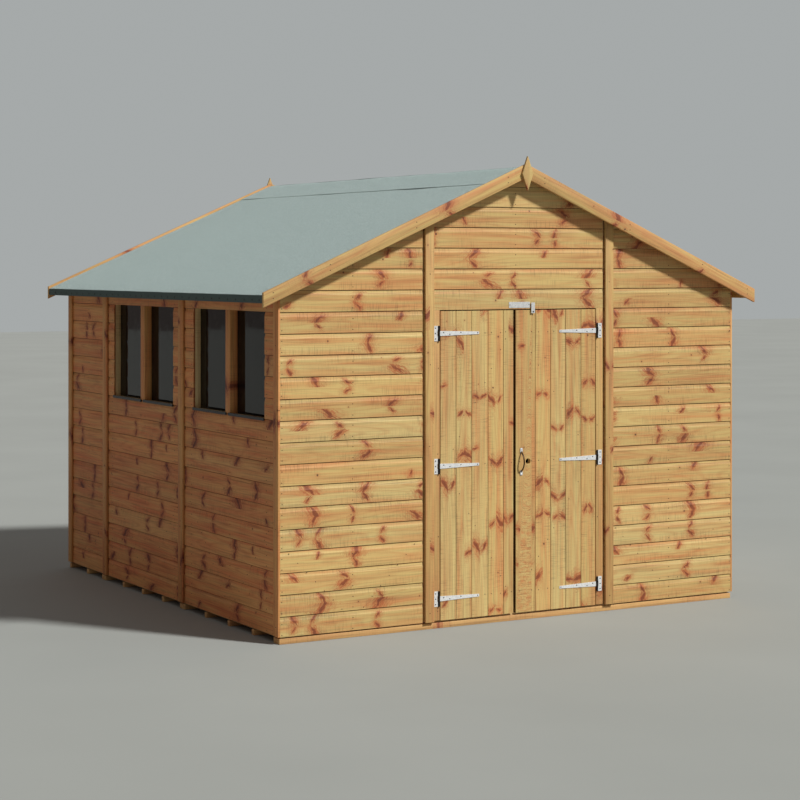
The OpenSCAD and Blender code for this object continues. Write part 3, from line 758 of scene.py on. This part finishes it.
for panel, key in (("front_left", 1), ("front_right", 2), ("front_gable", 3), ("back_left", 4),
                   ("back_centre", 5), ("back_right", 6), ("right_front", 11),
                   ("right_middle", 12), ("right_rear", 13), ("left_rear", 23)):
    wall_panel(panel, key)
window_wall()

# ---- Sticks of timber ----

# The side strips and the mullions take the redder copy of the strips, painted shade
for node, name, material, slot in (
        ("gable_cover_strips", "gable_strips", TRIM, "trim_timber"),
        ("side_cover_strips", "side_strips", PAINTED_SHADE_TRIM, "trim_timber"),
        ("door_posts", "door_post_pair", TRIM, "trim_timber"),
        ("window_mullions", "mullion_bars", PAINTED_SHADE_TRIM, "trim_timber"),
        ("left_bargeboards", "left_barge_pair", TRIM, "trim_timber"),
        ("right_bargeboards", "right_barge_pair", TRIM, "trim_timber"),
        ("finials", "finial_diamonds", TRIM, "trim_timber"),
        ("eaves_battens", "eaves_batten_pair", TRIM, "trim_timber"),
        ("front_wall_frame", "front_studs", FRAMING, "framing_timber"),
        ("back_wall_frame", "back_studs", FRAMING, "framing_timber"),
        ("left_wall_frame", "left_studs", FRAMING, "framing_timber"),
        ("right_wall_frame", "right_studs", FRAMING, "framing_timber"),
        ("roof_purlins", "purlin_bars", FRAMING, "framing_timber"),
        ("floor_bearers", "bearer_bars", BEARER, "bearer_timber")):
    timber(node, name, material, "root", slot)
for side in SIDES:
    timber(f"{side}_door_ledges", f"{side}_door_bracing", FRAMING, f"{side}_door",
           "framing_timber")

# ---- Floor and roof boards ----


def floor_boards(key):
    """Tongued boards that run from front to back, with their face up."""
    build = Build()
    for number, (a, b) in enumerate(parts_of("floor_panels")):
        plane = Plane((0, 0, b.z), (0, 1, 0), (1, 0, 0), (0, 0, 1))
        add_boards(build, plane, (a.x, b.x), lambda v: (a.y, b.y), b.z - a.z, pitch=DECK_PITCH,
                   first=a.x, profile=groove_profile(DECK_PITCH), key=key + number)
    build.piece("floor_boards", DECKING, "root", "deck_boards", "floor_panels")


def roof_boards(side, key):
    """Tongued roof boards, laid level along the slope, with their face down. They
    start where both slopes meet and end short of the deck's upright edge."""
    node, way = f"roof_deck_{side}", SIDES[side]
    a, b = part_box(node)
    ridge_under = a.z + (b.x - a.x) * SLOPE
    thick = (b.z - ridge_under) * math.cos(PITCH)
    down = Vector((way * math.cos(PITCH), 0, -math.sin(PITCH)))
    face = Vector((-way * math.sin(PITCH), 0, -math.cos(PITCH)))
    length = (b.x - a.x - thick * math.sin(PITCH)) / math.cos(PITCH)
    start = thick * SLOPE
    build = Build()
    add_boards(build, Plane((0, 0, ridge_under), (0, 1, 0), down, face), (start, length),
               lambda v: (a.y, b.y), thick, pitch=DECK_PITCH, first=start,
               profile=groove_profile(DECK_PITCH), key=key)
    build.piece(f"{side}_roof_boards", DECKING, "root", "deck_boards", node)


# ---- Felt ----

FELT_ROWS = 120              # rings along the length of a sheet
FOLD_R = 0.004               # bend over the eaves batten
SLOPE_RIPPLE, FOLD_SWAY = 0.0007, 0.0006
RIDGE_R = 0.030              # width of the rounded top of the ridge strip, each side


def felt_path(inner, outer, top, foot):
    """Outer face of a sheet, as (reach, height) from the ridge down to the fold's foot."""
    fold = math.pi / 2 - PITCH
    start = Vector((outer, top - SLOPE * outer))
    start += Vector((-math.cos(PITCH), math.sin(PITCH))) * FOLD_R * math.tan(fold / 2)
    middle = start + Vector((-math.sin(PITCH), -math.cos(PITCH))) * FOLD_R
    reaches = [inner + (outer - FOLD_R - inner) * i / 12 for i in range(12)]
    path = [Vector((x, top - SLOPE * x)) for x in reaches if x < start.x - 0.01]
    for i in range(7):
        turn = fold * (1 - i / 6)
        path.append(middle + Vector((math.cos(turn), math.sin(turn))) * FOLD_R)
    face_top = path[-1].y
    return path + [Vector((outer, face_top + (foot - face_top) * i / 3)) for i in (1, 2, 3)]


def inset(path, depth):
    """The path moved to its inner side."""
    moved = []
    for i, p in enumerate(path):
        way = (path[min(i + 1, len(path) - 1)] - path[max(i - 1, 0)]).normalized()
        moved.append(p - Vector((-way.y, way.x)) * depth)
    return moved


def felt_sheet(side, seed):
    """Felt on one slope: a thin sheet with soft ripples, folded over the batten."""
    node, way = f"roof_felt_{side}", SIDES[side]
    a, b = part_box(node)
    inner, outer = sorted((abs(a.x), abs(b.x)))
    path = felt_path(inner, outer, b.z, a.z)
    outline = path + inset(path, FELT_T)[::-1]
    wave = random.Random(seed)
    phases = [wave.uniform(0, 6.28) for _ in range(4)]
    rings = []
    for k in range(FELT_ROWS + 1):
        y = a.y + (b.y - a.y) * k / FELT_ROWS
        sway = -FOLD_SWAY * (1 + math.sin(y * 17.0 + phases[3]))
        ring = []
        for x, z in outline:
            ripple = (math.sin(y * 5.1 + phases[0] + x * 2) + math.sin(y * 11.3 + phases[1])
                      + math.sin(x * 9 + phases[2] + y * 1.7))
            if x < outer - FOLD_R:
                ring.append((way * x, y, z + SLOPE_RIPPLE * ripple))
            else:
                ring.append((way * (x + sway * min(x / outer, 1.0)), y, z))
        rings.append(ring)
    build = Build()
    add_sweep(build, rings)
    build.piece(f"{side}_felt_sheet", FELT, "root", "roof_felt", node, smooth=35)


def ridge_strip(seed):
    """Felt strip over the ridge, with a rounded top and slightly wavy edges."""
    a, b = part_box("ridge_felt")
    half = b.x
    xs = [-half + half * 2 * i / 24 for i in range(25)]
    wave = random.Random(seed)
    phases = [wave.uniform(0, 6.28) for _ in range(3)]
    rings = []
    for k in range(FELT_ROWS + 1):
        y = a.y + (b.y - a.y) * k / FELT_ROWS
        edge = 1 + 0.004 * math.sin(y * 3.1 + phases[0]) + 0.003 * math.sin(y * 7.7 + phases[1])
        ring = []
        for depth, row in ((0.0, xs), (FELT_T, xs[::-1])):
            for x in row:
                fall = abs(x) if abs(x) > RIDGE_R else (x * x / RIDGE_R + RIDGE_R) / 2
                lift = min(0.0008 * math.sin(y * 6.3 + phases[2] + x * 4), 0.0)
                width = math.copysign(min(abs(x) * edge, half), x)
                ring.append((width, y, b.z - fall * SLOPE - depth + lift))
        rings.append(ring)
    build = Build()
    add_sweep(build, rings)
    build.piece("ridge_strip", FELT, "root", "roof_felt", "ridge_felt", smooth=35)


floor_boards(31)
roof_boards("left", 41)
roof_boards("right", 42)
felt_sheet("left", 7)
felt_sheet("right", 8)
ridge_strip(9)

# ---- Doors ----

LOCK_HOLE = Vector((0.053, FRONT_FACE, 0.876))
LOCK_HOLE_R, LOCK_HOLE_L = 0.016, 0.040


def board_edges(side):
    """Left and right edge of each upright board of a door."""
    a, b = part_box(f"{side}_door_boards")
    edges = [a.x, *DOOR_JOINTS[side], b.x]
    return list(zip(edges, edges[1:]))


def door_boards(side, key):
    """Upright boards of one door, with the cove at the right edge of each."""
    node = f"{side}_door_boards"
    a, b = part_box(node)
    plane = Plane((0, a.y, 0), (0, 0, 1), (1, 0, 0), (0, -1, 0))
    build = Build()
    for number, (x0, x1) in enumerate(board_edges(side)):
        width = x1 - x0
        profile = [(0, 0.001), (0.001, 0), (width, 0)] if x1 == b.x else stretched(DOOR_COVE, width)
        tone = random.Random(key * 101 + number * 17).random()
        add_board(build, plane, x0, (x0, x1), lambda v: (a.z, b.z), profile, BOARD_T, tone)
    return build.piece(f"{side}_door_panel", BOARDS, f"{side}_door", "board_timber", node)


def cut_hole(obj, centre, direction, radius, length):
    """Bores a round hole through an object's mesh."""
    bpy.ops.mesh.primitive_cylinder_add(vertices=48, radius=radius, depth=length, location=centre)
    tool = bpy.context.object
    tool.rotation_euler = Vector(direction).to_track_quat("Z", "Y").to_euler()
    bpy.context.view_layer.update()
    cut = obj.modifiers.new("hole", "BOOLEAN")
    cut.operation, cut.object, cut.solver = "DIFFERENCE", tool, "EXACT"
    graph = bpy.context.evaluated_depsgraph_get()
    mesh = bpy.data.meshes.new_from_object(obj.evaluated_get(graph))
    obj.modifiers.clear()
    old = obj.data
    obj.data = mesh
    bpy.data.meshes.remove(old)
    bpy.data.objects.remove(tool)


door_boards("left", 51)
cut_hole(door_boards("right", 52), LOCK_HOLE, (0, 1, 0), LOCK_HOLE_R, LOCK_HOLE_L)

# ---- Nails ----

NAIL_R, BIG_NAIL_R = 0.0028, 0.0030
NAIL_RISES = (0.018, 0.075)  # nails above the lower edge of a wall board
NAIL_JITTER = 0.0015
NAIL_MARGIN = 0.008          # least distance of a nail from a wall's end
BRACE_NAILS_FROM, BRACE_NAILS_STEP = 0.042, 0.052
EDGE_NAIL = 0.010            # nails from the outer edge of a gable wall
STRIP_NAILS = 0.445          # mean spacing down a cover strip or a post
BARGE_NAILS_X = (0.12, 0.70, 1.22, 1.55)
BARGE_NAILS_DOWN = (0.024, 0.054)
FINIAL_NAILS_X = (-0.011, 0.011)
CLOUT_R, CLOUT_H = 0.0052, 0.0012
CLOUT_SPACING = (0.084, 0.108)


def add_nail(build, place, out, radius=NAIL_R):
    rng.random()  # one draw a nail keeps the places of the nails after it
    add_dome(build, place, out, radius, radius * 0.35)


def nail_column(build, plane, u, z0, z1):
    """Two nails in each board of a wall, up a stud at u along the wall."""
    row = -1
    while FIRST_JOINT + row * BOARD_PITCH < z1:
        foot = FIRST_JOINT + row * BOARD_PITCH
        for rise in NAIL_RISES:
            v = foot + rise + rng.uniform(-NAIL_JITTER, NAIL_JITTER)
            if z0 + NAIL_MARGIN < v < z1 - NAIL_MARGIN:
                aside = rng.uniform(-NAIL_JITTER, NAIL_JITTER)
                add_nail(build, plane.at(u + aside, v), plane.out)
        row += 1


def brace_nails(build, plane, middle, left, right):
    """Single nails along two braces that rise at 45 degrees from a stud's foot."""
    for side, limit in ((-1, left), (1, right)):
        rise = BRACE_NAILS_FROM
        while STUD_W / 2 + rise < abs(limit - middle):
            z = WALL_FOOT + STUD_W + 0.030 + rise
            add_nail(build, plane.at(middle + side * (STUD_W / 2 + rise), z), plane.out)
            rise += BRACE_NAILS_STEP


def stick_nails(build, plane, u, z0, z1):
    """Nails down the middle of a cover strip or post."""
    z = z0 + 0.05
    while z < z1 - 0.03:
        add_nail(build, plane.at(u + rng.uniform(-0.003, 0.003), z), plane.out)
        z += STRIP_NAILS * rng.uniform(0.8, 1.2)


def gable_nails(build, plane, doorway):
    left, right = high("front_left_cladding").x, low("front_right_cladding").x
    for x0, x1, edge in ((WALL_LEFT, left, WALL_LEFT + EDGE_NAIL),
                         (right, WALL_RIGHT, WALL_RIGHT - EDGE_NAIL)):
        middle = (x0 + x1) / 2
        nail_column(build, plane, edge, WALL_FOOT, EAVES_OUTER)
        nail_column(build, plane, middle, WALL_FOOT, APEX_Z - abs(middle) * SLOPE - 0.03)
        brace_nails(build, plane, middle, x0 + STUD_W, x1 - STUD_W)
    middle = (left + right) / 2 - 0.002
    nail_column(build, plane, middle, HEADER_Z if doorway else WALL_FOOT, APEX_Z - 0.05)
    if not doorway:
        brace_nails(build, plane, middle, left + STUD_W, right - STUD_W)


def side_nails(build, plane, panels, windows):
    """Nails of a side wall. A window is (its front edge, its rear edge, its foot)."""
    for y0, y1 in panels:
        middle = (y0 + y1) / 2
        top, edges = EAVES_OUTER - 0.03, (y0 + 0.085, y1 - 0.022)
        for front, rear, foot in windows:
            if y0 < (front + rear) / 2 < y1:
                top, edges = foot - STUD_W, (front - 0.024, rear + 0.024)
        nail_column(build, plane, middle, WALL_FOOT, top)
        for edge in edges:
            nail_column(build, plane, edge, WALL_FOOT, EAVES_OUTER - 0.02)
        brace_nails(build, plane, middle, y0 + STUD_W, y1 - STUD_W)


def wall_nails():
    build = Build()
    gable_nails(build, FRONT, True)
    gable_nails(build, BACK, False)
    panels = [(low(f"right_{p}_cladding").y, high(f"right_{p}_cladding").y)
              for p in ("front", "middle", "rear")]
    jambs = parts_of("left_window_sides")
    windows = [(before[1].y, after[0].y, before[0].z)
               for before, after in ((jambs[0], jambs[1]), (jambs[2], jambs[3]))]
    side_nails(build, LEFT, panels, windows)
    side_nails(build, RIGHT, panels, [])
    build.piece("wall_nail_heads", RUSTY_NAIL, "root", "black_iron", smooth=40)


def strip_nails():
    build = Build()
    for a, b in parts_of("gable_cover_strips"):
        plane = (FRONT if a.y < 0 else BACK).raised(STRIP_T)
        stick_nails(build, plane, (a.x + b.x) / 2, a.z, b.z - 0.03)
    for a, b in parts_of("side_cover_strips"):
        plane = (LEFT if a.x < 0 else RIGHT).raised(STRIP_T)
        stick_nails(build, plane, (a.y + b.y) / 2, a.z, EAVES_OUTER)
    for a, b in parts_of("door_posts"):
        u = b.x - 0.009 if a.x < 0 else a.x + 0.009
        stick_nails(build, FRONT, u, a.z, b.z)
    build.piece("strip_nail_heads", RUSTY_NAIL, "root", "black_iron", smooth=40)


def barge_nails():
    """Pairs of nails along the bargeboards, and two in each finial."""
    build = Build()
    top = high("right_bargeboards").z
    middle = (low("finials").z + high("finials").z) / 2
    for out in (-1, 1):
        end = low if out < 0 else high
        for side in (-1, 1):
            for x in BARGE_NAILS_X:
                for down in BARGE_NAILS_DOWN:
                    place = (side * x, end("left_bargeboards").y, top - x * SLOPE - down)
                    add_nail(build, place, (0, out, 0), BIG_NAIL_R)
        for x in FINIAL_NAILS_X:
            # driven in flush with the finial, which is the shed's outermost face
            place = (x, end("finials").y - out * 0.0010, middle)
            add_nail(build, place, (0, out, 0), BIG_NAIL_R)
    build.piece("barge_nail_heads", RUSTY_NAIL, "root", "black_iron", smooth=40)


def felt_clouts():
    """Clout nails along the folded eaves edges of the felt."""
    build = Build()
    a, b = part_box("roof_felt_left")
    fold_top = b.z - EAVES_REACH * SLOPE
    z = (a.z + fold_top) / 2 - 0.004
    for side in (-1, 1):
        y = a.y + 0.04
        while y < b.y - 0.02:
            place = (side * EAVES_REACH, y, z + rng.uniform(-0.002, 0.002))
            add_dome(build, place, (side, 0, 0), CLOUT_R, CLOUT_H, sides=10)
            y += rng.uniform(*CLOUT_SPACING)
    build.piece("felt_clout_heads", CLOUT, "root", "roof_felt", smooth=40)


def door_nails(side):
    """Nails through the boards into the ledges and the two braces of a door."""
    build = Build()
    face, way, half = low(f"{side}_door_boards").y, SIDES[side], LEDGE_H / 2
    strap_end = end_x(f"{side}_hinge_straps", -way)
    hinge_x = end_x(f"{side}_door_ledges", way) - way * half
    free_x = end_x(f"{side}_door_ledges", -way) + way * half
    bottom, middle, top = LEDGE_HEIGHTS
    for x in [x0 + (x1 - x0) * share for x0, x1 in board_edges(side) for share in (0.2, 0.8)]:
        if (x - strap_end) * way < -0.008:
            for z in LEDGE_HEIGHTS:
                add_nail(build, (x, face, z + rng.uniform(-0.002, 0.002)), (0, -1, 0))
        share = (x - hinge_x) / (free_x - hinge_x)
        for start, end in ((middle - half, bottom + half), (middle + half, top - half)):
            if 0.0 < share < 1.0:
                z = start + (end - start) * share + rng.uniform(-0.003, 0.003)
                add_nail(build, (x, face, z), (0, -1, 0))
    build.piece(f"{side}_door_nail_heads", RUSTY_NAIL, f"{side}_door", "black_iron", smooth=40)


wall_nails()
strip_nails()
barge_nails()
felt_clouts()
door_nails("left")
door_nails("right")

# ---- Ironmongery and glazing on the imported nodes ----

LEAF_FACE = FRONT_FACE - 0.0003 - 0.0025  # the straps' gap and the leaves' thickness
LEAF_SCREW_X = 0.021         # leaf screws from the hinge axis
LEAF_SCREW_Z = (-0.029, 0.0, 0.029)
STRAP_SCREWS = ((0.030, 0.005), (0.069, -0.005), (0.139, 0.003), (0.246, 0.0))
FOOT_L, FOOT_T = 0.027, 0.003  # the handle's feet
CAP_T, CAP_OVER, CAP_CORNER = 0.0006, 0.0004, 0.004


# A modifier eases the sharp edges and leaves the mesh as it is
for node, material, width in (
        ("hinge_leaves", HINGE, 0.0004), ("left_hinge_straps", HINGE, 0.0004),
        ("right_hinge_straps", HINGE, 0.0004), ("door_handle", BRONZED, 0.0005),
        ("blank_plate", ZINC, 0.0006), ("turn_button", ZINC, 0.0008),
        ("window_drips", PLASTIC, 0.0008), ("window_glass", GLAZING, 0.0003)):
    NODES[node].data.materials.clear()
    NODES[node].data.materials.append(material)
    edge = NODES[node].modifiers.new("eased", "BEVEL")
    edge.width, edge.segments = width, 2
    edge.limit_method, edge.angle_limit = "ANGLE", math.radians(40)


def add_screw(build, place, radius, height, sides=12):
    add_dome(build, place, (0, -1, 0), radius, height, sides)


def hinge_screws():
    """Dark screws in the leaves on the posts and in the straps on the doors."""
    leaves = Build()
    for side, axis in HINGE_AXES.items():
        way = SIDES[side]
        straps = Build()
        for z in LEDGE_HEIGHTS:
            for rise in LEAF_SCREW_Z:
                add_screw(leaves, (axis + way * LEAF_SCREW_X, LEAF_FACE, z + rise), 0.0036, 0.0010)
            for reach, rise in STRAP_SCREWS:
                add_screw(straps, (axis - way * reach, LEAF_FACE, z + rise), 0.0033, 0.0010)
        straps.piece(f"{side}_strap_screws", SCREW, f"{side}_door", "black_iron", smooth=40)
    leaves.piece("hinge_leaf_screws", SCREW, "root", "black_iron", smooth=40)


def rounded_slab(build, centre, half_w, half_h, y0, y1, corner, sides=6):
    """An upright plate with round corners between two places in y."""
    outline = []
    for cx, cz, start in ((1, 1, 0), (-1, 1, 90), (-1, -1, 180), (1, -1, 270)):
        for i in range(sides + 1):
            turn = math.radians(start + 90 * i / sides)
            outline.append((centre[0] + cx * (half_w - corner) + corner * math.cos(turn),
                            centre[1] + cz * (half_h - corner) + corner * math.sin(turn)))
    add_sweep(build, [[(x, y, z) for x, z in outline] for y in (y0, y1)])


def handle_trim():
    """Bright caps on the handle's feet, each with a screw near its end."""
    a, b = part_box("door_handle")
    x, face = (a.x + b.x) / 2, FRONT_FACE - FOOT_T
    caps, screws = Build(), Build()
    for end, z in ((1, b.z), (-1, a.z)):
        rounded_slab(caps, (x, z - end * FOOT_L / 2), (b.x - a.x) / 2 + CAP_OVER,
                     FOOT_L / 2 + CAP_OVER, face, face - CAP_T, CAP_CORNER)
        add_screw(screws, (x, face - CAP_T, z - end * 0.006), 0.0038, 0.0014)
    caps.piece("handle_foot_caps", ZINC, "right_door", "zinc_steel", smooth=40)
    screws.piece("handle_screws", ZINC, "right_door", "zinc_steel", smooth=40)


def plate_screws():
    """Small screws at both ends of the blank plate, and the button's pivot screw."""
    build = Build()
    a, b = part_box("blank_plate")
    for x in (a.x + 0.006, b.x - 0.006):
        add_screw(build, (x, a.y, (a.z + b.z) / 2), 0.0026, 0.0009)
    build.piece("plate_screw_heads", SCREW, "root", "black_iron", smooth=40)
    build = Build()
    a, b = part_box("turn_button")
    add_screw(build, ((a.x + b.x) / 2, a.y, a.z + 0.008), 0.0045, 0.0018, sides=16)
    build.piece("button_screw_head", SCREW, "turn_button", "black_iron", smooth=40)


hinge_screws()
handle_trim()
plate_screws()

# ---- Floor, light and camera ----

FLOOR_SIZE = 90
FLOOR_COLOURS = (srgb(145, 148, 145), srgb(157, 160, 157))
SUN_AT = (0.39, -0.58, 0.71)           # direction from the shed to the sun
SUN_POWER, SUN_WIDTH, SUN_COLOUR = 3.85, 6, (1.0, 1.0, 0.97)
SKY_DIM, SKY_PALE = (0.190, 0.162, 0.150, 1), (0.38, 0.40, 0.40, 1)
# pale parts of the sky: (direction, cosine where one starts and where it is full)
SKY_PARTS = (((0.495, 0.869, 0.0), 0.72, 0.94), ((0.0, 0.0, 1.0), 0.70, 1.0))
CAMERA_AT, CAMERA_YAW = (-6.0826, -10.8698, 1.9708), -29.6825
LENS, SENSOR_W, LENS_DROP = 90.42, 36, -0.1703


def pale_floor():
    bpy.ops.mesh.primitive_plane_add(size=FLOOR_SIZE, location=(0, 0, 0))
    floor = bpy.context.object
    floor.name = "floor"
    s = Shader("pale_floor", 0.9)
    s.colour(s.mix(s.noise(s.place(), scale=0.6, detail=3.0), *FLOOR_COLOURS))
    floor.data.materials.append(s.material)


def soft_sun():
    """A wide sun at the front right."""
    sun = bpy.data.lights.new("key_sun", "SUN")
    sun.energy, sun.angle, sun.color = SUN_POWER, math.radians(SUN_WIDTH), SUN_COLOUR
    key = bpy.data.objects.new("key_sun", sun)
    key.rotation_euler = Vector(SUN_AT).to_track_quat("Z", "Y").to_euler()
    bpy.context.scene.collection.objects.link(key)


def pale_sky():
    """A dim sky, paler behind the shed and overhead."""
    world = bpy.data.worlds.new("pale_sky")
    bpy.context.scene.world = world
    t = Tree(world)
    way = t.node("ShaderNodeTexCoord").outputs["Generated"]

    def part(towards, start, end):
        """1 where the sky lies towards a direction, 0 where it does not."""
        dot = t.node("ShaderNodeVectorMath", {"operation": "DOT_PRODUCT"})
        t.link(way, dot.inputs[0])
        t.link(towards, dot.inputs[1])
        return t.step(Value(t, dot.outputs["Value"]), start, end)

    pale = t.math("MAXIMUM", *(part(*sky_part) for sky_part in SKY_PARTS))
    t.link(t.mix(pale, SKY_DIM, SKY_PALE), t.tree.nodes["Background"].inputs["Color"])


def camera():
    """A level camera in front of the shed's left corner, with its lens shifted."""
    data = bpy.data.cameras.new("camera")
    data.lens, data.sensor_width, data.shift_y = LENS, SENSOR_W, LENS_DROP
    eye = bpy.data.objects.new("camera", data)
    eye.location = CAMERA_AT
    eye.rotation_euler = (math.pi / 2, 0, math.radians(CAMERA_YAW))
    bpy.context.scene.collection.objects.link(eye)
    bpy.context.scene.camera = eye


pale_floor()
soft_sun()
pale_sky()
camera()
bpy.context.scene.view_settings.view_transform = "Standard"
